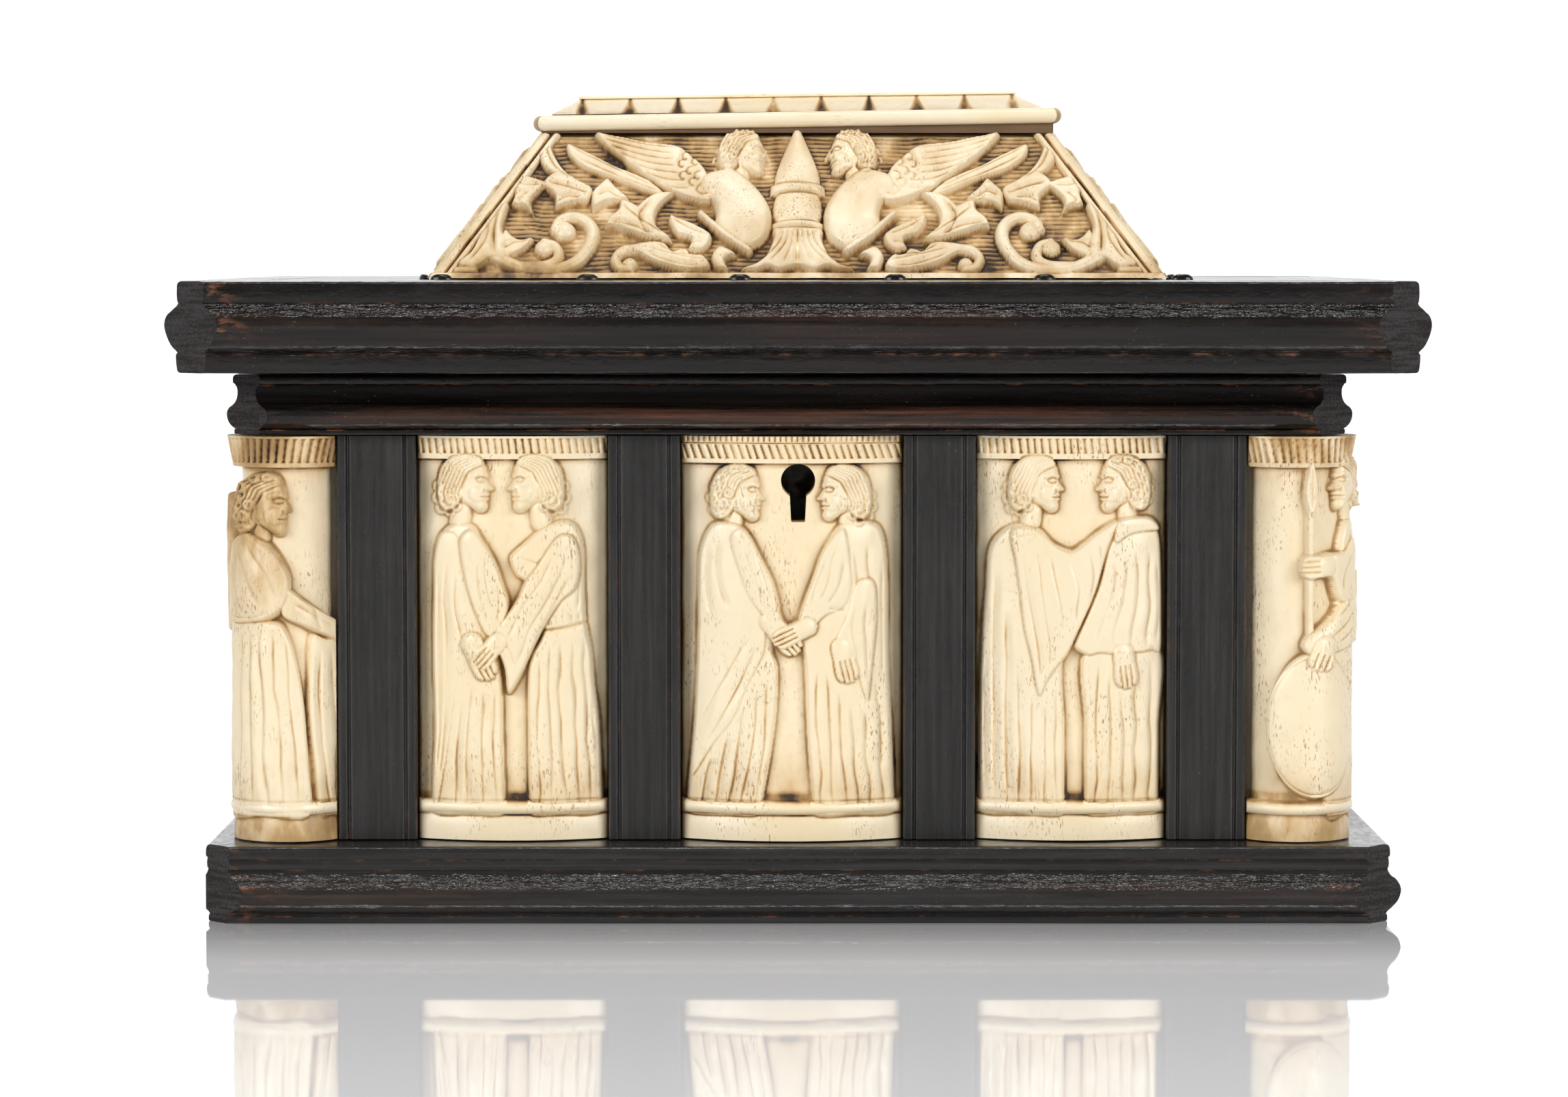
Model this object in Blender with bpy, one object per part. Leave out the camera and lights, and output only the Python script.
"""A small casket of ebonised wood faced with carved bone, with a hinged lid and a sliding-bolt lock.

Metres, +Z up.  The origin is on the floor under the middle of the casket, and the front faces -Y.
Every piece of wood, bone or metal is its own object.  The lid pieces hang from an empty on the hinge
axis and the bolt from an empty on its slide axis.
"""
import math

import bmesh
import bpy
from mathutils import Matrix, Vector

# Clearances
JOINT_GAP = 0.0003
LEAF_GAP = 0.0003
BOLT_GAP = 0.0003
BORE_GAP = 0.0002

# Bone facing of the four walls
CENTRE_PLAQUE_W = 0.0424
FRONT_PLAQUE_W = 0.0364
END_PLAQUE_W = 0.0333
INNER_PILASTER_W = 0.0138
OUTER_PILASTER_W = 0.0151
CORNER_W = 0.0193
PLAQUE_H = 0.0778
PLAQUE_EDGE = 0.0020
CENTRE_PLAQUE_BOW = 0.0060
FRONT_PLAQUE_BOW = 0.0046
END_PLAQUE_BOW = 0.0040
CORNER_PROUD = 0.0092
CORNER_EDGE = 0.0025
PLINTH_H = 0.0047
PLINTH_PROUD = 0.0012
TORUS_H = 0.0024
TORUS_PROUD = 0.0018
CORNICE_H = 0.0040
CORNICE_PROUD = 0.0020
SHAFT_SUNK = 0.0008
FIGURE_PROUD = 0.0016
FIGURE_HEAD_W = 0.0084
FIGURE_HEAD_H = 0.0104
PILASTER_T = 0.0060
PILASTER_LINE_IN = 0.0021
PILASTER_LINE_W = 0.0006

# Wooden carcass
WALL_T = 0.0090
BOTTOM_T = 0.0100

# Base moulding
BASE_H = 0.0148
BASE_LEDGE = 0.0064
BASE_FILLET_H = 0.0024
BASE_COVE_H = 0.0044
BASE_COVE_DEEP = 0.0003
BASE_LOBE_PROUD = 0.0027
BASE_FOOT_H = 0.0014
BASE_CORNER_CUT = 0.0047

# Frieze moulding under the lid
FRIEZE_H = 0.0114
FRIEZE_PROUD = 0.0091
FRIEZE_FILLET_H = 0.0016
FRIEZE_COVE_H = 0.0046
FRIEZE_COVE_DEEP = 0.0008
FRIEZE_LOBE_PROUD = 0.0015
FRIEZE_FOOT_H = 0.0010
FRIEZE_CORNER_CUT = 0.0055

# Lid moulding and board
LID_H = 0.0174
LID_SEAT_GAP = 0.0006
LID_OVERHANG = 0.0107
LID_RIM_W = 0.0140
LID_FILLET_H = 0.0033
LID_COVE_H = 0.0038
LID_COVE_DEEP = 0.0004
LID_LOBE_PROUD = 0.0031
LID_FOOT_H = 0.0026
LID_CORNER_CUT = 0.0051

# Bone roof on the lid
ROOF_SET_IN = 0.0443
ROOF_RISE = 0.0292
ROOF_RUN = 0.0213
PANEL_T = 0.0042
PANEL_BORDER = 0.0024
PANEL_SUNK = 0.0015
PANEL_RELIEF = 0.0023
ROOF_HEAD_W = 0.0078
ROOF_HEAD_H = 0.0096
CAP_H = 0.0031
CAP_PROUD = 0.0013
CAP_W = 0.0070
CAP_CORNER_CUT = 0.0012
CROWN_SET_IN = 0.0034
CROWN_H = 0.0032
CROWN_RUN = 0.0061
CROWN_PLATE_H = 0.0007
CROWN_PLATE_PROUD = 0.0006
NOTCH_PITCH = 0.0097
NOTCH_W = 0.0034
NOTCH_DEEP = 0.0022
NOTCH_FADE = 0.1

# Hinges
HINGE_END_IN = 0.0358
HINGE_LEN = 0.0240
KNUCKLE_R = 0.0020
KNUCKLE_CLEAR = 0.0006
MID_KNUCKLE_LEN = 0.0080
LEAF_T = 0.0010
LEAF_REACH = 0.0175
HINGE_PIN_R = 0.0008

# Lock
KEYHOLE_DROP = 0.0086
KEYHOLE_R = 0.0033
KEY_SLOT_W = 0.0030
KEY_SLOT_DROP = 0.0079
LOCK_W = 0.0460
LOCK_T = 0.0130
LOCK_PLATE_T = 0.0012
LOCK_LOW = 0.0160
LOCK_TOP_DROP = 0.0016
KEY_ROOM_W = 0.0140
KEY_ROOM_DROP = 0.0110
BOLT_RISE = 0.0088
BOLT_LEN = 0.0180
BOLT_H = 0.0040
BOLT_T = 0.0030
BOLT_THROW = 0.0110
TALON_W = 0.0050
TALON_DEEP = 0.0012
STAPLE_T = 0.0022
STAPLE_W = 0.0066
STAPLE_CLEAR = 0.0013
STAPLE_FOOT_H = 0.0013
STAPLE_TANG = 0.0070
SPRING_T = 0.0005
SPRING_LEN = 0.0140
SPRING_RISE = 0.0016

# Carved masses: how deep they root in their ground, the chamfer of their edges, how much lower each next
# one lies, and where a moulding's lobe ends in an arris
RELIEF_ROOT = 0.0008
RELIEF_EDGE = 0.0007
RELIEF_LAYER = 0.0001
LOBE_TURN = math.radians(60)

# Smoothness of the curved faces
ARC_STEPS = 10
COLUMN_STEPS = 18
LOBE_STEPS = 8
COVE_STEPS = 5
STAND_STEPS = 6
HEAD_STEPS = 8
ROUND_STEPS = 16

# Sizes that follow from the ones above
FRONT_HALF_ROW = INNER_PILASTER_W + FRONT_PLAQUE_W + OUTER_PILASTER_W + CORNER_W + 4 * JOINT_GAP
END_HALF_ROW = END_PLAQUE_W + OUTER_PILASTER_W + CORNER_W + 3 * JOINT_GAP
FACE_W = CENTRE_PLAQUE_W + 2 * FRONT_HALF_ROW
FACE_D = INNER_PILASTER_W + 2 * END_HALF_ROW
CARCASS_W = FACE_W - 2 * CORNER_PROUD
CARCASS_D = FACE_D - 2 * CORNER_PROUD
FACING_Z = BASE_H + JOINT_GAP
FRIEZE_Z = FACING_Z + PLAQUE_H + JOINT_GAP
FRIEZE_TOP = FRIEZE_Z + FRIEZE_H
LID_Z = FRIEZE_TOP + LID_SEAT_GAP
LID_TOP = LID_Z + LID_H
LID_PROUD = FRIEZE_PROUD + LID_OVERHANG
ROOF_Z = LID_TOP + JOINT_GAP
ROOF_TOP = ROOF_Z + ROOF_RISE
ROOF_W = CARCASS_W + 2 * (LID_PROUD - ROOF_SET_IN)
ROOF_D = CARCASS_D + 2 * (LID_PROUD - ROOF_SET_IN)
CAP_Z = ROOF_TOP + JOINT_GAP
CROWN_Z = CAP_Z + CAP_H + JOINT_GAP
HINGE_X = CARCASS_W / 2 - HINGE_END_IN
HINGE_Y = CARCASS_D / 2 + FRIEZE_PROUD + FRIEZE_LOBE_PROUD + KNUCKLE_CLEAR + KNUCKLE_R
HINGE_Z = FRIEZE_TOP + LID_SEAT_GAP / 2
WALL_IN_Y = -CARCASS_D / 2 + WALL_T
LOCK_Y = WALL_IN_Y + JOINT_GAP
LOCK_MID_Y = LOCK_Y + LOCK_T / 2
KEYHOLE_Z = FACING_Z + PLAQUE_H - KEYHOLE_DROP
BOLT_Z = KEYHOLE_Z + BOLT_RISE
BOLT_X = -BOLT_LEN - STAPLE_T / 2

# Each face of the box: its turn about Z, its length and the distance between it and the opposite face
FACES = {
    "front": (0, CARCASS_W, CARCASS_D),
    "right": (90, CARCASS_D, CARCASS_W),
    "back": (180, CARCASS_W, CARCASS_D),
    "left": (270, CARCASS_D, CARCASS_W),
}
CORNERS = ("front_right", "back_right", "back_left", "front_left")

# Draped pairs carved on the plaques: outlines of the two robes, up to the neck, and places of the heads,
# as shares of the plaque's width, from its middle, and of its height
PAIRS = {
    "first": (
        [[(-0.42, 0.085), (-0.42, 0.62), (-0.37, 0.755), (-0.31, 0.78), (-0.30, 0.825), (-0.22, 0.825),
          (-0.20, 0.78), (-0.045, 0.635), (-0.065, 0.49), (-0.04, 0.085)],
         [(0.085, 0.085), (0.08, 0.41), (-0.13, 0.48), (0.07, 0.645), (0.0, 0.70), (0.10, 0.77),
          (0.11, 0.825), (0.19, 0.825), (0.21, 0.785), (0.35, 0.77), (0.385, 0.62), (0.435, 0.385),
          (0.47, 0.085)]],
        [(-0.26, 0.865), (0.15, 0.865)]),
    "second": (
        [[(-0.46, 0.085), (-0.43, 0.47), (-0.425, 0.635), (-0.37, 0.755), (-0.31, 0.775), (-0.30, 0.81),
          (-0.22, 0.81), (-0.21, 0.775), (-0.08, 0.635), (-0.045, 0.54), (-0.085, 0.475), (-0.07, 0.315),
          (-0.125, 0.085)],
         [(0.085, 0.085), (0.06, 0.36), (0.02, 0.53), (0.09, 0.655), (0.19, 0.77), (0.21, 0.81),
          (0.29, 0.81), (0.31, 0.78), (0.39, 0.765), (0.44, 0.635), (0.455, 0.285), (0.46, 0.085)]],
        [(-0.26, 0.85), (0.25, 0.85)]),
    "third": (
        [[(-0.47, 0.085), (-0.47, 0.515), (-0.435, 0.72), (-0.355, 0.765), (-0.26, 0.78), (-0.24, 0.825),
          (-0.16, 0.825), (-0.14, 0.77), (0.0, 0.72), (0.195, 0.745), (0.125, 0.585), (-0.04, 0.465),
          (-0.035, 0.085)],
         [(0.065, 0.085), (0.075, 0.475), (0.185, 0.645), (0.235, 0.77), (0.245, 0.825), (0.325, 0.825),
          (0.34, 0.785), (0.41, 0.775), (0.47, 0.67), (0.47, 0.085)]],
        [(-0.20, 0.865), (0.285, 0.865)]),
}

# Ornament of the roof, as shares.  Up the slope everything is a share of its height.  Along it, the winged
# half-figure's body, wing and two leaves are shares of half the long panel, from the middle.  The half
# widths of the stand, and the leaves measured inwards from the hip, are shares of half the short panel.
STAND = [(0.05, 0.263), (0.17, 0.213), (0.36, 0.127), (0.40, 0.105), (0.46, 0.117), (0.53, 0.110),
         (0.545, 0.129), (0.63, 0.129), (0.645, 0.110), (0.72, 0.124), (0.86, 0.089), (0.95, 0.024)]
WINGED_FIGURE = [
    [(0.173, 0.73), (0.078, 0.51), (0.074, 0.30), (0.121, 0.19), (0.200, 0.28), (0.230, 0.405),
     (0.274, 0.555), (0.252, 0.70)],
    [(0.220, 0.61), (0.286, 0.80), (0.420, 0.87), (0.540, 0.885), (0.590, 0.84), (0.495, 0.655),
     (0.345, 0.535), (0.235, 0.48)],
    [(0.334, 0.25), (0.330, 0.57), (0.435, 0.505), (0.505, 0.66), (0.540, 0.56), (0.520, 0.34),
     (0.435, 0.28)],
    [(0.232, 0.065), (0.338, 0.22), (0.424, 0.24), (0.525, 0.12), (0.499, 0.055), (0.327, 0.055)],
]
WINGED_HEAD = (0.131, 0.83)
HIP_LEAVES = [
    [(0.512, 0.515), (0.364, 0.665), (0.215, 0.81), (0.156, 0.835), (0.189, 0.70), (0.163, 0.54),
     (0.356, 0.46)],
    [(0.325, 0.08), (0.555, 0.05), (0.691, 0.16), (0.636, 0.325), (0.474, 0.45), (0.380, 0.395),
     (0.409, 0.31), (0.478, 0.32), (0.507, 0.35), (0.574, 0.295), (0.588, 0.20), (0.500, 0.13),
     (0.299, 0.18)],
    [(0.266, 0.43), (0.187, 0.445), (0.175, 0.285), (0.160, 0.095), (0.309, 0.065), (0.287, 0.20),
     (0.335, 0.27)],
]

# Finish: base colour, roughness and metallic value
FINISHES = {
    "ebonised_wood": ((0.020, 0.017, 0.016, 1.0), 0.42, 0.0),
    "inner_wood": ((0.150, 0.085, 0.045, 1.0), 0.65, 0.0),
    "bone": ((0.800, 0.690, 0.500, 1.0), 0.45, 0.0),
    "iron": ((0.120, 0.110, 0.100, 1.0), 0.55, 1.0),
}


def clear_scene():
    """Remove every object that is already in the scene."""
    for obj in list(bpy.data.objects):
        bpy.data.objects.remove(obj, do_unlink=True)


def new_collection(name):
    """Add a collection to the scene."""
    group = bpy.data.collections.new(name)
    bpy.context.scene.collection.children.link(group)
    return group


def new_finish(name, colour, roughness, metallic):
    """Make one Principled material."""
    material = bpy.data.materials.new(name)
    material.use_nodes = True
    shader = material.node_tree.nodes["Principled BSDF"]
    shader.inputs["Base Color"].default_value = colour
    shader.inputs["Roughness"].default_value = roughness
    shader.inputs["Metallic"].default_value = metallic
    return material


clear_scene()
PARTS = new_collection("wooden_casket")
CUTTERS = new_collection("cutters")
MATERIALS = {name: new_finish(name, *look) for name, look in FINISHES.items()}


def new_axis(name, place):
    """Add an empty that marks the axis of a moving body."""
    empty = bpy.data.objects.new(name, None)
    empty.location = place
    empty.empty_display_size = KNUCKLE_R
    PARTS.objects.link(empty)
    return empty


LID_AXIS = new_axis("lid_hinge_axis", (0, HINGE_Y, HINGE_Z))
BOLT_AXIS = new_axis("lock_bolt_axis", (BOLT_X, LOCK_MID_Y, BOLT_Z))


def mesh_object(name, shape, place, group):
    """Turn a bmesh into an object of the given collection."""
    bmesh.ops.recalc_face_normals(shape, faces=shape.faces)
    mesh = bpy.data.meshes.new(name)
    shape.to_mesh(mesh)
    shape.free()
    obj = bpy.data.objects.new(name, mesh)
    obj.matrix_world = place
    group.objects.link(obj)
    return obj


def add_part(name, shape, finish, place=Matrix(), axis=None):
    """Add one piece of the casket, on the axis of its moving body if it has one."""
    obj = mesh_object(name, shape, place, PARTS)
    obj.data.materials.append(MATERIALS[finish])
    obj.data.shade_smooth()
    obj.data.set_sharp_from_angle(angle=math.radians(35))
    if axis is not None:
        obj.parent = axis
        obj.matrix_parent_inverse = Matrix.Translation(axis.location).inverted()
    return obj


def add_cutter(name, shape, place=Matrix()):
    """Add a tool body for a Boolean, kept out of the model."""
    obj = mesh_object(name, shape, place, CUTTERS)
    obj.hide_render = True
    obj.display_type = "WIRE"
    return obj


def combine(obj, tools, operation):
    """Cut or join tool bodies on an object."""
    for tool in tools:
        step = obj.modifiers.new(tool.name, "BOOLEAN")
        step.operation = operation
        step.object = tool
        step.solver = "EXACT"


def turned(face, along=0.0, out=0.0, up=0.0):
    """Place on a face of the carcass: along it from its middle, out from it, and up from the floor."""
    angle, _length, span = FACES[face]
    spin = Matrix.Rotation(math.radians(angle), 4, "Z")
    return spin @ Matrix.Translation((along, -span / 2 - out, up))


def block(low, high):
    """A box between two corners."""
    shape = bmesh.new()
    bmesh.ops.create_cube(shape, size=1.0)
    low, high = Vector(low), Vector(high)
    bmesh.ops.scale(shape, vec=high - low, verts=shape.verts)
    bmesh.ops.translate(shape, vec=(low + high) / 2, verts=shape.verts)
    return shape


def rod(radius, length, centre):
    """A cylinder along X."""
    shape = bmesh.new()
    bmesh.ops.create_cone(shape, cap_ends=True, segments=ROUND_STEPS,
                          radius1=radius, radius2=radius, depth=length)
    bmesh.ops.rotate(shape, matrix=Matrix.Rotation(math.pi / 2, 3, "Y"), verts=shape.verts)
    bmesh.ops.translate(shape, vec=centre, verts=shape.verts)
    return shape


def prism(outline, length):
    """A flat outline extruded both ways from its plane, with its caps welded."""
    curve = bpy.data.curves.new("outline", "CURVE")
    curve.dimensions = "2D"
    curve.fill_mode = "BOTH"
    curve.extrude = length / 2
    spline = curve.splines.new("POLY")
    spline.points.add(len(outline) - 1)
    for point, (x, y) in zip(spline.points, outline):
        point.co = (x, y, 0.0, 1.0)
    spline.use_cyclic_u = True
    guide = bpy.data.objects.new("outline", curve)
    CUTTERS.objects.link(guide)
    mesh = bpy.data.meshes.new_from_object(guide.evaluated_get(bpy.context.evaluated_depsgraph_get()))
    bpy.data.objects.remove(guide, do_unlink=True)
    shape = bmesh.new()
    shape.from_mesh(mesh)
    bmesh.ops.remove_doubles(shape, verts=shape.verts, dist=0.000001)
    return shape


def loft(sections, shape=None):
    """Join rings of equally many points, the first and last closed by a cap, as a new body of a shape."""
    shape = shape or bmesh.new()
    rings = [[shape.verts.new(point) for point in section] for section in sections]
    count = len(rings[0])
    for lower, upper in zip(rings, rings[1:]):
        for i in range(count):
            j = (i + 1) % count
            shape.faces.new((lower[i], lower[j], upper[j], upper[i]))
    shape.faces.new(rings[0])
    shape.faces.new(rings[-1])
    return shape


def rectangle(width, depth, height):
    """A level ring of four corners."""
    x, y = width / 2, depth / 2
    return [(-x, -y, height), (x, -y, height), (x, y, height), (-x, y, height)]


def trim(shape, point, normal):
    """Cut away what lies beyond a plane and close the cut."""
    everything = shape.verts[:] + shape.edges[:] + shape.faces[:]
    bmesh.ops.bisect_plane(shape, geom=everything, plane_co=point, plane_no=normal, clear_outer=True)
    bmesh.ops.holes_fill(shape, edges=[edge for edge in shape.edges if edge.is_boundary])


def mitred_strip(profile, run, reach, corner_cut):
    """A length of moulding with mitred ends, its corners cut off by upright facets.

    The profile gives (out, up) from the front arris, run is the length of that arris from mitre to
    mitre, and reach is the arris's distance from the middle of the casket.
    """
    shape = prism(profile, 2 * run)
    lay = Matrix(((0, 0, -1, 0), (-1, 0, 0, -reach), (0, 1, 0, 0), (0, 0, 0, 1)))
    bmesh.ops.transform(shape, matrix=lay, verts=shape.verts)
    for side in (-1, 1):
        mitre = Vector((side * (run / 2 - JOINT_GAP / math.sqrt(2)), -reach, 0))
        trim(shape, mitre, (side, 1, 0))
        if corner_cut > 0:
            facet = Vector((side * (run / 2 - corner_cut), -reach, 0))
            trim(shape, facet, (side, -1, 0))
    return shape


def moulding_profile(height, foot, fillet, cove, cove_deep, lobe_proud, width):
    """Foot fillet, lobe, cove and top fillet, from the bottom up.

    The lobe turns from its foot to an arris at LOBE_TURN past its widest point.  From there the cove
    falls behind the fillet's face and comes back to it.
    """
    half = (height - fillet - cove - foot) / (1 + math.sin(LOBE_TURN))
    outline = [(-width, 0), (0, 0), (0, foot)]
    for step in range(LOBE_STEPS + 1):
        angle = -math.pi / 2 + (math.pi / 2 + LOBE_TURN) * step / LOBE_STEPS
        out = (lobe_proud + cove_deep) * math.cos(angle) - cove_deep
        outline.append((out, foot + half * (1 + math.sin(angle))))
    arris, low = outline[-1]
    for step in range(1, COVE_STEPS + 1):
        share = step / COVE_STEPS
        out = arris * (1 - share) ** 2 - cove_deep * math.sin(math.pi * share)
        outline.append((out, low + cove * share))
    outline += [(0, height), (-width, height)]
    return outline


def add_moulding(tier, profile, proud, up, corner_cut, axis=None):
    """Four mitred lengths of one moulding, round the casket."""
    for face, (angle, length, span) in FACES.items():
        shape = mitred_strip(profile, length + 2 * proud, span / 2 + proud, corner_cut)
        place = Matrix.Translation((0, 0, up)) @ Matrix.Rotation(math.radians(angle), 4, "Z")
        add_part(f"{tier}_moulding_{face}", shape, "ebonised_wood", place, axis)


def relief_levels(sunk):
    """Heights up a bone facing with how far it stands proud there: plinth, torus, sunk shaft and cornice."""
    levels = [(0.0, PLINTH_PROUD), (PLINTH_H, PLINTH_PROUD / 2)]
    for step in range(5):
        angle = math.pi * step / 4
        swell = PLINTH_PROUD / 2 + (TORUS_PROUD - PLINTH_PROUD / 2) * math.sin(angle)
        levels.append((PLINTH_H + JOINT_GAP + TORUS_H * step / 4, swell))
    shaft = PLINTH_H + TORUS_H + 2 * JOINT_GAP
    levels += [(shaft, -sunk), (PLAQUE_H - CORNICE_H, -sunk)]
    levels += [(PLAQUE_H - CORNICE_H + JOINT_GAP, CORNICE_PROUD / 2), (PLAQUE_H, CORNICE_PROUD)]
    return levels


def bowed(x, width, bow):
    """How far a bowed front stands out from its edges at a place along it."""
    radius = (width * width / 4 + bow * bow) / (2 * bow)
    return math.sqrt(radius * radius - x * x) - radius + bow


def plaque_shape(width, bow):
    """A bone plaque with a flat back and a bowed front, lofted up its height."""
    sections = []
    for height, proud in relief_levels(SHAFT_SUNK):
        ring = [(width / 2, 0, height), (-width / 2, 0, height)]
        for step in range(ARC_STEPS + 1):
            x = width * (step / ARC_STEPS - 0.5)
            ring.append((x, -PLAQUE_EDGE - bowed(x, width, bow) - proud, height))
        sections.append(ring)
    return loft(sections)


def carved_mass(outline, ground, height):
    """A carved body: an outline that rises from its root under the ground, with a chamfer round its top."""
    low, high = ground - RELIEF_ROOT, ground + height - RELIEF_EDGE
    shape = prism(outline, high - low)
    bmesh.ops.translate(shape, vec=(0, 0, (low + high) / 2), verts=shape.verts)
    bmesh.ops.recalc_face_normals(shape, faces=shape.faces)
    top = [face for face in shape.faces if face.normal.z > 0.5]
    bmesh.ops.inset_region(shape, faces=top, thickness=RELIEF_EDGE, depth=RELIEF_EDGE, use_even_offset=True)
    return shape


def carved_head(width, height, place, ground, proud):
    """A plain oval head that stands on its ground, cut flat at its root."""
    shape = bmesh.new()
    bmesh.ops.create_uvsphere(shape, u_segments=HEAD_STEPS, v_segments=HEAD_STEPS // 2 + 1, radius=1.0)
    bmesh.ops.scale(shape, vec=(width / 2, height / 2, proud), verts=shape.verts)
    trim(shape, (0, 0, -RELIEF_ROOT), (0, 0, -1))
    bmesh.ops.translate(shape, vec=(*place, ground), verts=shape.verts)
    return shape


def carve_plaque(plaque, width, bow, pair):
    """Raise a draped pair on a plaque: masses laid out flat, then bent over its bow."""
    robes, heads = PAIRS[pair]
    height = SHAFT_SUNK + FIGURE_PROUD
    shapes = []
    for layer, robe in enumerate(robes):
        outline = [(x * width, z * PLAQUE_H) for x, z in robe]
        shapes.append(carved_mass(outline, -SHAFT_SUNK, height - layer * RELIEF_LAYER))
    for x, z in heads:
        place = (x * width, z * PLAQUE_H)
        shapes.append(carved_head(FIGURE_HEAD_W, FIGURE_HEAD_H, place, -SHAFT_SUNK, height))
    tools = []
    for number, shape in enumerate(shapes, 1):
        for vert in shape.verts:
            x, up, out = vert.co
            vert.co = (x, -PLAQUE_EDGE - bowed(x, width, bow) - out, up)
        tools.append(add_cutter(f"{plaque.name}_figure_{number}", shape, plaque.matrix_world))
    combine(plaque, tools, "UNION")


def corner_shape():
    """A bone column that wraps the corner of the carcass, with a notch for the two walls behind it.

    The column is round.  Its centre lies on the diagonal of the corner, where its front reaches
    CORNER_PROUD and its edges are CORNER_EDGE thick.  The local origin is the carcass corner.
    """
    grip = CORNER_W - CORNER_PROUD
    half = grip + CORNER_PROUD - CORNER_EDGE
    inset = half - math.sqrt(half * half - grip * grip - CORNER_EDGE ** 2 + CORNER_PROUD ** 2)
    radius = inset + CORNER_PROUD
    sections = []
    for height, proud in relief_levels(0.0):
        reach = radius + proud
        start = math.pi + math.acos((grip - inset) / reach)
        sweep = 2 * (1.75 * math.pi - start)
        ring = [(JOINT_GAP, grip, height), (JOINT_GAP, -JOINT_GAP, height), (-grip, -JOINT_GAP, height)]
        for step in range(COLUMN_STEPS + 1):
            angle = start + sweep * step / COLUMN_STEPS
            ring.append((reach * math.cos(angle) - inset, reach * math.sin(angle) + inset, height))
        sections.append(ring)
    return loft(sections)


def pilaster_shape(width, sunk):
    """A flat strip with a fine line near each edge, its back sunk behind the wall face by the given depth."""
    x, line, half = width / 2, width / 2 - PILASTER_LINE_IN, PILASTER_LINE_W / 2
    outline = [(-x, sunk), (x, sunk), (x, -PILASTER_T)]
    for middle in (line, -line):
        outline += [(middle + half, -PILASTER_T), (middle, -PILASTER_T + half), (middle - half, -PILASTER_T)]
    outline.append((-x, -PILASTER_T))
    shape = prism(outline, PLAQUE_H)
    bmesh.ops.translate(shape, vec=(0, 0, PLAQUE_H / 2), verts=shape.verts)
    return shape


def front_rows():
    """Middles of the pilasters and plaques on the long faces, from the centre outwards."""
    inner = CENTRE_PLAQUE_W / 2 + JOINT_GAP + INNER_PILASTER_W / 2
    plaque = inner + INNER_PILASTER_W / 2 + JOINT_GAP + FRONT_PLAQUE_W / 2
    outer = plaque + FRONT_PLAQUE_W / 2 + JOINT_GAP + OUTER_PILASTER_W / 2
    return inner, plaque, outer


def end_rows():
    """Middles of the plaque and outer pilaster on the short faces, from the centre outwards."""
    plaque = INNER_PILASTER_W / 2 + JOINT_GAP + END_PLAQUE_W / 2
    return plaque, plaque + END_PLAQUE_W / 2 + JOINT_GAP + OUTER_PILASTER_W / 2


def keyhole_cutter():
    """A round hole with a slot below, from in front of the bone through to the room inside the lock."""
    half = KEY_SLOT_W / 2
    start = math.asin(half / KEYHOLE_R)
    outline = [(-half, -KEY_SLOT_DROP), (half, -KEY_SLOT_DROP)]
    for step in range(ROUND_STEPS + 1):
        angle = -math.pi / 2 + start + (2 * math.pi - 2 * start) * step / ROUND_STEPS
        outline.append((KEYHOLE_R * math.cos(angle), KEYHOLE_R * math.sin(angle)))
    front = -CARCASS_D / 2 - 2 * CORNER_PROUD
    shape = prism(outline, LOCK_MID_Y - front)
    upright = Matrix.Rotation(math.pi / 2, 4, "X")
    middle = Matrix.Translation((0, (LOCK_MID_Y + front) / 2, KEYHOLE_Z))
    return add_cutter("keyhole", shape, middle @ upright)


def build_carcass(keyhole):
    """Bottom board and four walls; the end walls carry their own pilasters."""
    x, y = CARCASS_W / 2, CARCASS_D / 2
    add_part("bottom_board", block((-x, -y, 0), (x, y, BOTTOM_T)), "inner_wood")
    low, high = BOTTOM_T + JOINT_GAP, FRIEZE_TOP
    front = add_part("front_wall", block((-x, -y, low), (x, -y + WALL_T, high)), "inner_wood")
    combine(front, [keyhole], "DIFFERENCE")
    back = add_part("back_wall", block((-x, y - WALL_T, low), (x, y, high)), "inner_wood")
    inside = y - WALL_T - JOINT_GAP
    plaque, outer = end_rows()
    for face in ("right", "left"):
        shape = block((-inside, 0, low), (inside, WALL_T, high))
        wall = add_part(f"{face}_wall", shape, "inner_wood", turned(face))
        rows = ((-outer, OUTER_PILASTER_W), (0, INNER_PILASTER_W), (outer, OUTER_PILASTER_W))
        strips = []
        for number, (along, width) in enumerate(rows, 1):
            strip = pilaster_shape(width, WALL_T / 2)
            strips.append(add_cutter(f"{face}_strip_{number}", strip, turned(face, along, 0, FACING_Z)))
        combine(wall, strips, "UNION")
    return back


def add_plaque(name, width, bow, place, pair):
    """One bone plaque with its draped pair."""
    plaque = add_part(name, plaque_shape(width, bow), "bone", place)
    carve_plaque(plaque, width, bow, pair)
    return plaque


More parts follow.
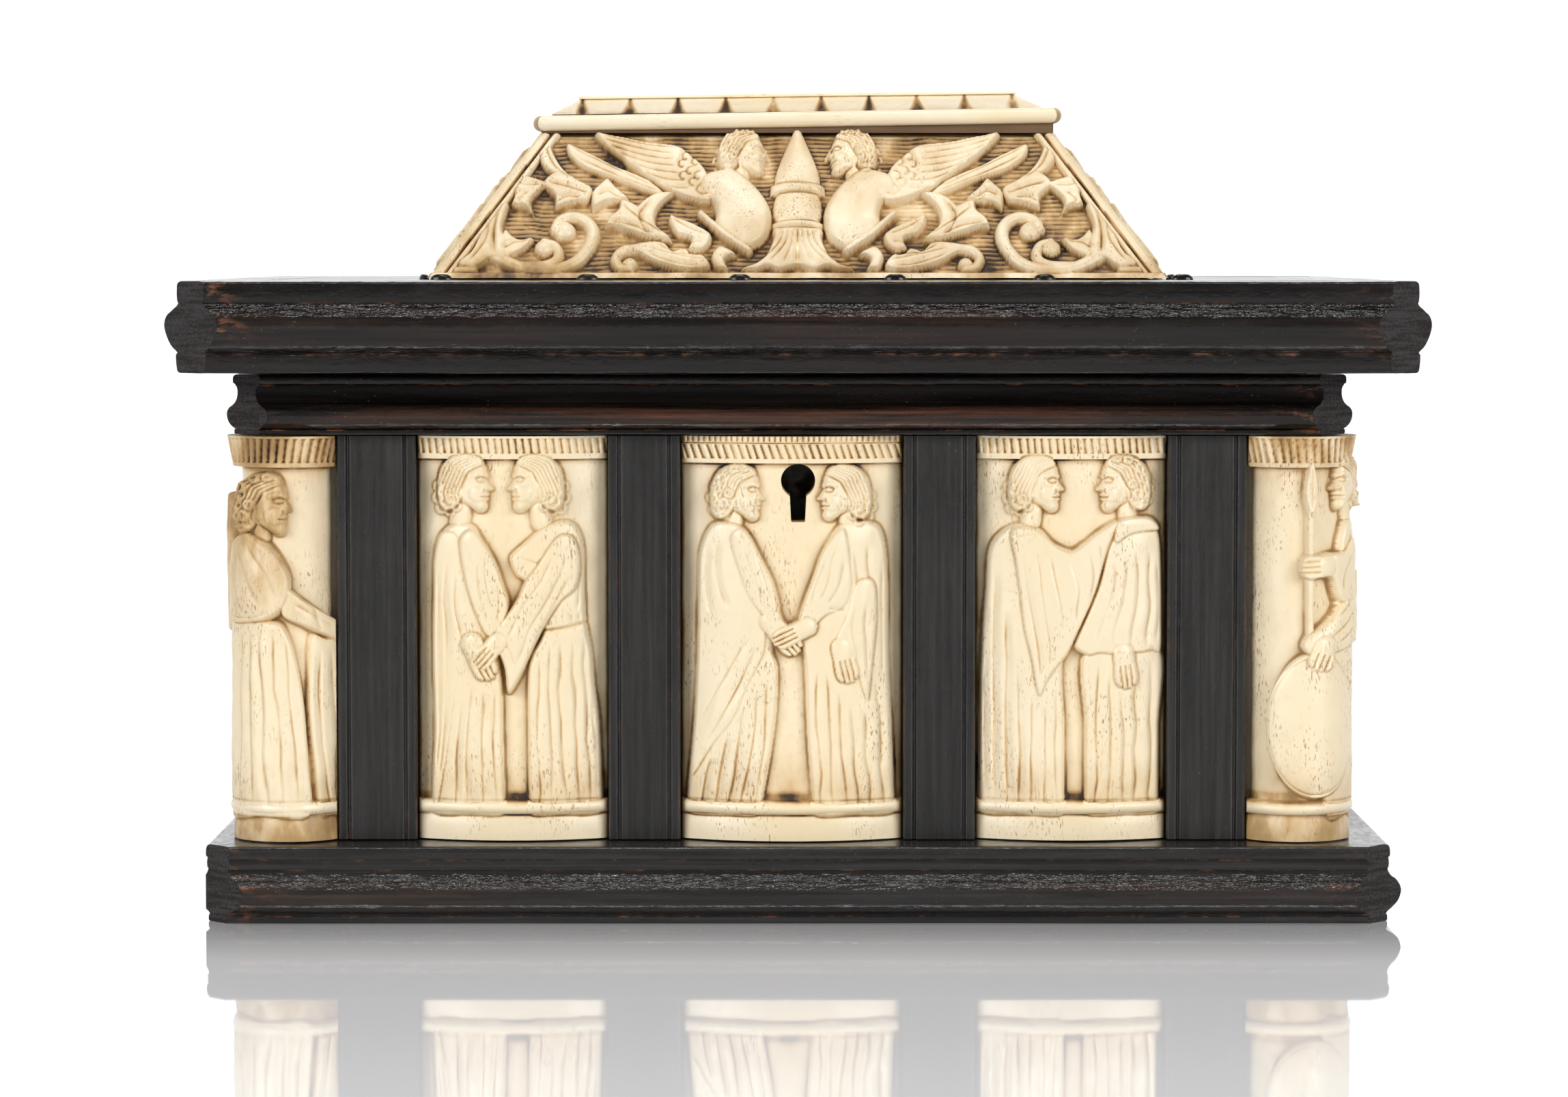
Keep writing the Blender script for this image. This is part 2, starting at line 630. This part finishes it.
def build_facing(keyhole):
    """Bone plaques, corner columns and the pilasters of the long faces."""
    inner, plaque, outer = front_rows()
    for face in ("front", "back"):
        for number, (along, width) in enumerate(
                ((-outer, OUTER_PILASTER_W), (-inner, INNER_PILASTER_W),
                 (inner, INNER_PILASTER_W), (outer, OUTER_PILASTER_W)), 1):
            strip = pilaster_shape(width, -JOINT_GAP)
            place = turned(face, along, 0, FACING_Z)
            add_part(f"pilaster_{face}_{number}", strip, "ebonised_wood", place)
        near = "left" if face == "front" else "right"
        far = "right" if face == "front" else "left"
        for side, along, pair in ((near, -plaque, "first"), (far, plaque, "third")):
            place = turned(face, along, JOINT_GAP, FACING_Z)
            add_plaque(f"plaque_{face}_{side}", FRONT_PLAQUE_W, FRONT_PLAQUE_BOW, place, pair)
        place = turned(face, 0, JOINT_GAP, FACING_Z)
        centre = add_plaque(f"plaque_{face}_centre", CENTRE_PLAQUE_W, CENTRE_PLAQUE_BOW, place, "second")
        if face == "front":
            combine(centre, [keyhole], "DIFFERENCE")
    along = end_rows()[0]
    for face, first, second in (("right", "front", "back"), ("left", "back", "front")):
        for side, shift, pair in ((first, -along, "first"), (second, along, "third")):
            place = turned(face, shift, JOINT_GAP, FACING_Z)
            add_plaque(f"plaque_{face}_{side}", END_PLAQUE_W, END_PLAQUE_BOW, place, pair)
    for number, corner in enumerate(CORNERS):
        spin = Matrix.Rotation(number * math.pi / 2, 4, "Z")
        x = CARCASS_W / 2 if "right" in corner else -CARCASS_W / 2
        y = CARCASS_D / 2 if "back" in corner else -CARCASS_D / 2
        place = Matrix.Translation((x, y, FACING_Z)) @ spin
        add_part(f"corner_plaque_{corner}", corner_shape(), "bone", place)


def build_mouldings():
    """Base, frieze and lid mouldings."""
    base_proud = CORNER_PROUD + BASE_LEDGE
    base = moulding_profile(BASE_H, BASE_FOOT_H, BASE_FILLET_H, BASE_COVE_H, BASE_COVE_DEEP,
                            BASE_LOBE_PROUD, base_proud - JOINT_GAP)
    add_moulding("base", base, base_proud, 0, BASE_CORNER_CUT)
    frieze = moulding_profile(FRIEZE_H, FRIEZE_FOOT_H, FRIEZE_FILLET_H, FRIEZE_COVE_H, FRIEZE_COVE_DEEP,
                              FRIEZE_LOBE_PROUD, FRIEZE_PROUD - JOINT_GAP)
    add_moulding("frieze", frieze, FRIEZE_PROUD, FRIEZE_Z, FRIEZE_CORNER_CUT)
    lid = moulding_profile(LID_H, LID_FOOT_H, LID_FILLET_H, LID_COVE_H, LID_COVE_DEEP,
                           LID_LOBE_PROUD, LID_RIM_W)
    add_moulding("lid", lid, LID_PROUD, LID_Z, LID_CORNER_CUT, LID_AXIS)


def panel_shape(length, reach):
    """A leaning bone panel of the roof, mitred at its hips, its field sunk inside a border."""
    short = JOINT_GAP / math.sqrt(2)
    sections = []
    for lean, height in ((0.0, 0.0), (ROOF_RUN, ROOF_RISE)):
        x, y = length / 2 - lean - short, reach - lean
        sections.append([(-x, -y, height), (x, -y, height),
                         (x - PANEL_T, -y + PANEL_T, height), (-x + PANEL_T, -y + PANEL_T, height)])
    shape = loft(sections)
    bmesh.ops.recalc_face_normals(shape, faces=shape.faces)
    front = min(shape.faces, key=lambda face: face.normal.y)
    bmesh.ops.inset_individual(shape, faces=[front], thickness=PANEL_BORDER)
    bmesh.ops.inset_individual(shape, faces=[front], thickness=PANEL_SUNK / 2, depth=-PANEL_SUNK)
    return shape


def stand_shape(slope):
    """A turned stand in relief: half-round sections up the slope, rooted in the panel's ground."""
    root, height = -PANEL_SUNK - RELIEF_ROOT, PANEL_RELIEF + RELIEF_ROOT
    sections = []
    for share, half in STAND:
        angles = [math.pi * step / STAND_STEPS for step in range(STAND_STEPS + 1)]
        half *= ROOF_D / 2
        sections.append([(half * math.cos(a), share * slope, root + height * math.sin(a)) for a in angles])
    return loft(sections)


def carve_panel(panel, length, reach, figures):
    """Raise the ornament of a roof panel: a stand in its middle, leaves, and winged figures if asked for."""
    slope = math.hypot(ROOF_RUN, ROOF_RISE)
    shapes = [stand_shape(slope)]
    for side in (-1, 1):
        outlines = []
        if figures:
            outlines += [[(side * x * ROOF_W / 2, up * slope) for x, up in mass] for mass in WINGED_FIGURE]
            place = (side * WINGED_HEAD[0] * ROOF_W / 2, WINGED_HEAD[1] * slope)
            shapes.append(carved_head(ROOF_HEAD_W, ROOF_HEAD_H, place, -PANEL_SUNK, PANEL_RELIEF))
        for leaf in HIP_LEAVES:
            outlines.append([(side * (length / 2 - ROOF_RUN * up - inward * ROOF_D / 2), up * slope)
                             for inward, up in leaf])
        for layer, outline in enumerate(outlines):
            shapes.append(carved_mass(outline, -PANEL_SUNK, PANEL_RELIEF - layer * RELIEF_LAYER))
    rise, run = ROOF_RISE / slope, ROOF_RUN / slope
    lay = Matrix(((1, 0, 0, 0), (0, run, -rise, -reach), (0, rise, run, 0), (0, 0, 0, 1)))
    tools = []
    for number, shape in enumerate(shapes, 1):
        bmesh.ops.transform(shape, matrix=lay, verts=shape.verts)
        tools.append(add_cutter(f"{panel.name}_relief_{number}", shape, panel.matrix_world))
    combine(panel, tools, "UNION")


def crown_notches(foot_w, foot_d):
    """Wedges that cut the crown's slopes at an even pitch, wide and deep at its foot, fading upwards."""
    shape = bmesh.new()
    clear = CROWN_PLATE_PROUD
    for face, (angle, _length, _span) in FACES.items():
        wide, reach = (foot_w, foot_d / 2) if face in ("front", "back") else (foot_d, foot_w / 2)
        half_count = int((wide / 2 - CROWN_RUN) / NOTCH_PITCH + 0.5)
        spin = Matrix.Rotation(math.radians(angle), 3, "Z")
        for number in range(-half_count, half_count):
            middle = (number + 0.5) * NOTCH_PITCH
            wedge = []
            for share, up in ((1.0, -clear), (NOTCH_FADE, CROWN_H - clear)):
                half, slope = share * NOTCH_W / 2, CROWN_RUN * up / CROWN_H - reach
                ring = [(middle - half, slope - clear), (middle + half, slope - clear),
                        (middle, slope + share * NOTCH_DEEP)]
                wedge.append([spin @ Vector((x, y, CROWN_Z + up)) for x, y in ring])
            loft(wedge, shape)
    return add_cutter("crown_notches", shape)


def cap_profile():
    """Half-round nosing with a flat back, as (out, up)."""
    outline = [(-CAP_W, 0)]
    for step in range(LOBE_STEPS + 1):
        angle = math.pi * (step / LOBE_STEPS - 0.5)
        outline.append((CAP_PROUD * math.cos(angle), CAP_H / 2 * (1 + math.sin(angle))))
    outline.append((-CAP_W, CAP_H))
    return outline


def build_roof():
    """Bone panels on a wooden core, the cap strips round its top and the crown over them."""
    top_w, top_d = ROOF_W - 2 * ROOF_RUN, ROOF_D - 2 * ROOF_RUN
    shrink = 2 * (PANEL_T + JOINT_GAP)
    block_w, block_d = top_w - 2 * (CAP_W + JOINT_GAP), top_d - 2 * (CAP_W + JOINT_GAP)
    core = loft([rectangle(ROOF_W - shrink, ROOF_D - shrink, ROOF_Z),
                 rectangle(top_w - shrink, top_d - shrink, ROOF_TOP),
                 rectangle(block_w, block_d, ROOF_TOP),
                 rectangle(block_w, block_d, CAP_Z + CAP_H)])
    add_part("lid_core", core, "inner_wood", axis=LID_AXIS)
    for face, (angle, _length, _span) in FACES.items():
        wide, deep = (ROOF_W, ROOF_D) if face in ("front", "back") else (ROOF_D, ROOF_W)
        spin = Matrix.Rotation(math.radians(angle), 4, "Z")
        place = Matrix.Translation((0, 0, ROOF_Z)) @ spin
        panel = add_part(f"lid_panel_{face}", panel_shape(wide, deep / 2), "bone", place, LID_AXIS)
        carve_panel(panel, wide, deep / 2, face in ("front", "back"))
        strip = mitred_strip(cap_profile(), wide - 2 * ROOF_RUN, deep / 2 - ROOF_RUN, CAP_CORNER_CUT)
        add_part(f"cap_strip_{face}", strip, "bone", Matrix.Translation((0, 0, CAP_Z)) @ spin, LID_AXIS)
    foot_w, foot_d = top_w + 2 * (CAP_PROUD - CROWN_SET_IN), top_d + 2 * (CAP_PROUD - CROWN_SET_IN)
    head_w, head_d = foot_w - 2 * CROWN_RUN, foot_d - 2 * CROWN_RUN
    edge = 2 * CROWN_PLATE_PROUD
    top = CROWN_Z + CROWN_H
    crown = loft([rectangle(foot_w, foot_d, CROWN_Z), rectangle(head_w, head_d, top),
                  rectangle(head_w + edge, head_d + edge, top),
                  rectangle(head_w + edge, head_d + edge, top + CROWN_PLATE_H)])
    crown = add_part("lid_crown", crown, "bone", axis=LID_AXIS)
    combine(crown, [crown_notches(foot_w, foot_d)], "DIFFERENCE")


def leaf_shape(tabs):
    """A hinge leaf in plan, from its free edge to the pin, with a tab for each of its knuckles."""
    half, clear = HINGE_LEN / 2, KNUCKLE_R + LEAF_GAP
    outline = [(half, -LEAF_REACH), (half, -clear)]
    for low, high in sorted(tabs, reverse=True):
        outline += [(high, -clear), (high, 0), (low, 0), (low, -clear)]
    outline += [(-half, -clear), (-half, -LEAF_REACH)]
    kept = [point for i, point in enumerate(outline) if point != outline[i - 1]]
    return prism(kept, LEAF_T)


def build_hinges(back_wall, lid_board):
    """Two butt hinges let into the top of the back and the underside of the lid."""
    half, mid = HINGE_LEN / 2, MID_KNUCKLE_LEN / 2
    outer = ((-half, -mid - LEAF_GAP), (mid + LEAF_GAP, half))
    sunk = LID_SEAT_GAP / 2
    frieze = PARTS.objects["frieze_moulding_back"]
    rim = PARTS.objects["lid_moulding_back"]
    for side, x in (("left", -HINGE_X), ("right", HINGE_X)):
        pin = (x, HINGE_Y, HINGE_Z)
        bore = add_cutter(f"hinge_{side}_bore", rod(HINGE_PIN_R + BORE_GAP, 2 * HINGE_LEN, pin))
        for leaf, tabs, drop, axis in (("box", outer, -sunk - LEAF_T / 2, None),
                                       ("lid", ((-mid, mid),), sunk + LEAF_T / 2, LID_AXIS)):
            place = Matrix.Translation((x, HINGE_Y, HINGE_Z + drop))
            plate = add_part(f"hinge_{side}_{leaf}_leaf", leaf_shape(tabs), "iron", place, axis)
            knuckles = [add_cutter(f"hinge_{side}_{leaf}_knuckle_{number}",
                                   rod(KNUCKLE_R, high - low, (x + (low + high) / 2, HINGE_Y, HINGE_Z)))
                        for number, (low, high) in enumerate(tabs, 1)]
            combine(plate, knuckles, "UNION")
            combine(plate, [bore], "DIFFERENCE")
        add_part(f"hinge_{side}_pin", rod(HINGE_PIN_R, HINGE_LEN, pin), "iron")
        low_y, high_y = HINGE_Y - LEAF_REACH - LEAF_GAP, HINGE_Y
        low_x, high_x = x - half - LEAF_GAP, x + half + LEAF_GAP
        deep = sunk + LEAF_T + LEAF_GAP
        seat = add_cutter(f"hinge_{side}_box_seat",
                          block((low_x, low_y, HINGE_Z - deep), (high_x, high_y, HINGE_Z)))
        pocket = add_cutter(f"hinge_{side}_lid_seat",
                            block((low_x, low_y, HINGE_Z), (high_x, high_y, HINGE_Z + deep)))
        groove = add_cutter(f"hinge_{side}_groove",
                            rod(KNUCKLE_R + LEAF_GAP, HINGE_LEN + 2 * LEAF_GAP, pin))
        combine(back_wall, [seat], "DIFFERENCE")
        combine(frieze, [seat], "DIFFERENCE")
        combine(lid_board, [pocket], "DIFFERENCE")
        combine(rim, [pocket, groove], "DIFFERENCE")


def build_lock(keyhole, lid_board):
    """Iron lock behind the keyhole: case, sliding bolt, spring and the staple that hangs from the lid."""
    low, top = KEYHOLE_Z - LOCK_LOW, FRIEZE_TOP - LOCK_TOP_DROP
    front, back = LOCK_Y, LOCK_Y + LOCK_T
    case = add_part("lock_case", block((-LOCK_W / 2, front, low), (LOCK_W / 2, back, top)), "iron")
    room_front, room_back = front + LOCK_PLATE_T, back - LOCK_PLATE_T
    bolt_low, bolt_high = BOLT_Z - BOLT_H / 2, BOLT_Z + BOLT_H / 2
    key_room = add_cutter("key_room", block(
        (-KEY_ROOM_W / 2, room_front, KEYHOLE_Z - KEY_ROOM_DROP),
        (KEY_ROOM_W / 2, room_back, bolt_low)))
    half_t = BOLT_T / 2 + BOLT_GAP
    channel = add_cutter("bolt_channel", block(
        (BOLT_X - BOLT_GAP, LOCK_MID_Y - half_t, bolt_low - BOLT_GAP),
        (BOLT_X + BOLT_LEN + BOLT_THROW + BOLT_GAP, LOCK_MID_Y + half_t, bolt_high + BOLT_GAP)))
    eye_half = BOLT_H / 2 + BOLT_GAP
    staple_low = BOLT_Z - eye_half - STAPLE_FOOT_H
    staple_x = BOLT_X + BOLT_LEN + BOLT_THROW / 2
    slot = add_cutter("staple_slot", block(
        (staple_x - STAPLE_T / 2 - BOLT_GAP, LOCK_MID_Y - STAPLE_W / 2 - STAPLE_CLEAR, staple_low - BOLT_GAP),
        (staple_x + STAPLE_T / 2 + BOLT_GAP, LOCK_MID_Y + STAPLE_W / 2 + BOLT_GAP, LID_Z)))
    spring_low = bolt_high + BOLT_GAP
    spring_room = add_cutter("spring_room", block(
        (BOLT_X, LOCK_MID_Y - half_t, bolt_high),
        (BOLT_X + SPRING_LEN + 2 * BOLT_GAP, LOCK_MID_Y + half_t,
         spring_low + SPRING_RISE + SPRING_T + BOLT_GAP)))
    combine(case, [key_room, channel, slot, spring_room, keyhole], "DIFFERENCE")

    bolt = add_part("lock_bolt", block((0, -BOLT_T / 2, -BOLT_H / 2), (BOLT_LEN, BOLT_T / 2, BOLT_H / 2)),
                    "iron", Matrix.Translation(BOLT_AXIS.location), BOLT_AXIS)
    talon = add_cutter("bolt_talon", block(
        (BOLT_X + BOLT_LEN / 2 - TALON_W / 2, LOCK_MID_Y - BOLT_T, bolt_low - TALON_DEEP),
        (BOLT_X + BOLT_LEN / 2 + TALON_W / 2, LOCK_MID_Y + BOLT_T, bolt_low + TALON_DEEP)))
    combine(bolt, [talon], "DIFFERENCE")

    tang_top = LID_Z + STAPLE_TANG
    staple = add_part("lock_staple", block(
        (staple_x - STAPLE_T / 2, LOCK_MID_Y - STAPLE_W / 2, staple_low),
        (staple_x + STAPLE_T / 2, LOCK_MID_Y + STAPLE_W / 2, tang_top)), "iron", axis=LID_AXIS)
    eye = add_cutter("staple_eye", block(
        (staple_x - STAPLE_T, LOCK_MID_Y - half_t, BOLT_Z - eye_half),
        (staple_x + STAPLE_T, LOCK_MID_Y + half_t, BOLT_Z + eye_half)))
    combine(staple, [eye], "DIFFERENCE")
    mortise = add_cutter("staple_mortise", block(
        (staple_x - STAPLE_T / 2 - BOLT_GAP, LOCK_MID_Y - STAPLE_W / 2 - BOLT_GAP, HINGE_Z),
        (staple_x + STAPLE_T / 2 + BOLT_GAP, LOCK_MID_Y + STAPLE_W / 2 + BOLT_GAP, tang_top + BOLT_GAP)))
    combine(lid_board, [mortise], "DIFFERENCE")
    add_part("lock_spring", spring_shape(), "iron",
             Matrix.Translation((BOLT_X + SPRING_LEN / 2 + BOLT_GAP, LOCK_MID_Y, spring_low)))


def spring_shape():
    """A bowed leaf spring over the bolt, its ends on the bolt and its middle under the case."""
    top, bottom = [], []
    for step in range(ARC_STEPS + 1):
        x = SPRING_LEN * (step / ARC_STEPS - 0.5)
        rise = SPRING_RISE * math.cos(math.pi * x / SPRING_LEN)
        top.append((x, rise + SPRING_T))
        bottom.append((x, rise))
    shape = prism(top + bottom[::-1], BOLT_T)
    bmesh.ops.rotate(shape, matrix=Matrix.Rotation(math.pi / 2, 3, "X"), verts=shape.verts)
    return shape


def build_casket():
    """Build every piece, the carcass first."""
    keyhole = keyhole_cutter()
    back_wall = build_carcass(keyhole)
    build_facing(keyhole)
    build_mouldings()
    inset = LID_PROUD - LID_RIM_W - JOINT_GAP
    x, y = CARCASS_W / 2 + inset, CARCASS_D / 2 + inset
    board = add_part("lid_board", block((-x, -y, LID_Z), (x, y, LID_TOP)), "ebonised_wood", axis=LID_AXIS)
    build_roof()
    build_hinges(back_wall, board)
    build_lock(keyhole, board)


build_casket()
